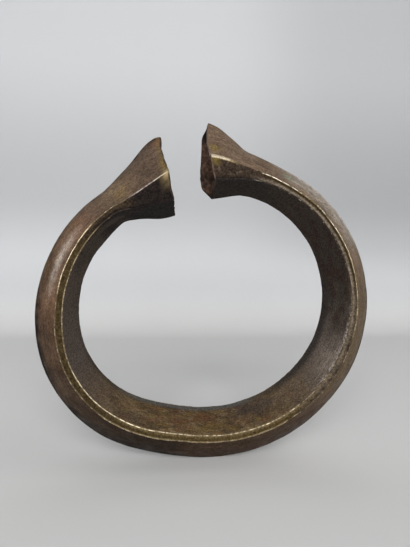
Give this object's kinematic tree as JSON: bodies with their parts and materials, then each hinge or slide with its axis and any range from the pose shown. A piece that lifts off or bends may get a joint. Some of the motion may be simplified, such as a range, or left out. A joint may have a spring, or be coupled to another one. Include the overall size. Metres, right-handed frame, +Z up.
{
  "type": "open currency ring",
  "caption": "Open, hollow armlet ring of aged copper alloy with a ridged section, flared open mouths and thin raised edging; stands upright on its worn foot.",
  "frame": {"origin": "on the floor under the middle of the ring's bounding box, at the worn foot", "axes": "+X across the ring to the right of the front view, +Y from the front flank to the rear flank along the ring's axis, +Z up from the foot to the mouths"},
  "size_m": [0.1302, 0.037, 0.1304],
  "materials": {
    "outer_plates": "satin, pinkish-brown patina with a rubbed ridge",
    "inner_band": "dark, mottled brown patina",
    "side_strips": "olive-brown patina",
    "edging_wires": "rubbed bright"
  },
  "bodies": {
    "root": {"front_outer_plate": "outer_plates", "rear_outer_plate": "outer_plates", "inner_band": "inner_band", "front_side_strip": "side_strips", "rear_side_strip": "side_strips", "front_outer_wire": "edging_wires", "front_inner_wire": "edging_wires", "rear_outer_wire": "edging_wires", "rear_inner_wire": "edging_wires"}
  },
  "joints": []
}
